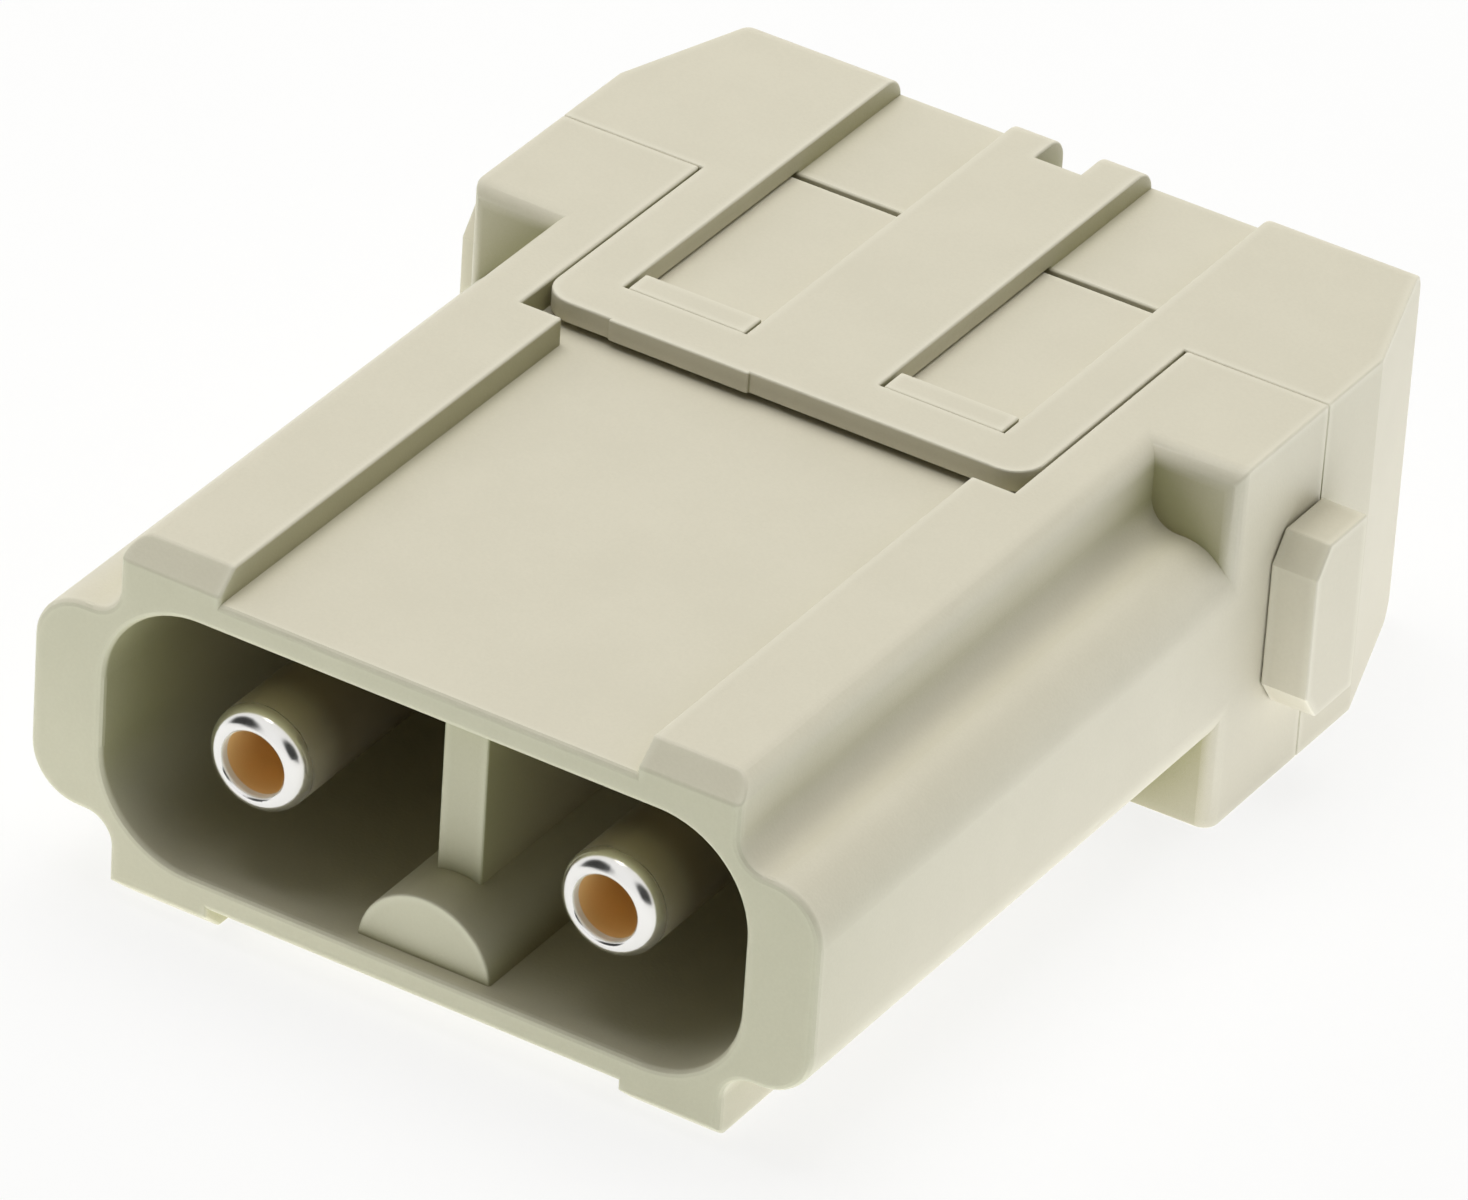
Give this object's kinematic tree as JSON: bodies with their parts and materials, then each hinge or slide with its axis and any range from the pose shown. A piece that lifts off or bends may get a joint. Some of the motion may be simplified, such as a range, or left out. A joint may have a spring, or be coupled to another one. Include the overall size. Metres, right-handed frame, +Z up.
{
  "type": "modular connector insert",
  "caption": "Flat grey connector insert with a rounded mating shroud, hollow power pins, a wire end with latch tongues, and side lugs that seat in a module frame.",
  "frame": {"origin": "on the underside, below the middle of the bounding box", "axes": "+X across the insert towards the lower of the two lugs, +Y from the mating face towards the wire end, +Z up"},
  "size_m": [0.0354, 0.0426, 0.0146],
  "materials": {
    "insulator": "satin moulded, pebble grey",
    "plated_contact": "bright silver plating, bare copper alloy in the bore",
    "cone_screw": "turned"
  },
  "bodies": {
    "root": {"front_body": "insulator", "rear_body": "insulator", "contact_left": "plated_contact", "contact_right": "plated_contact", "axial_cone_left": "cone_screw", "axial_cone_right": "cone_screw"}
  },
  "joints": []
}
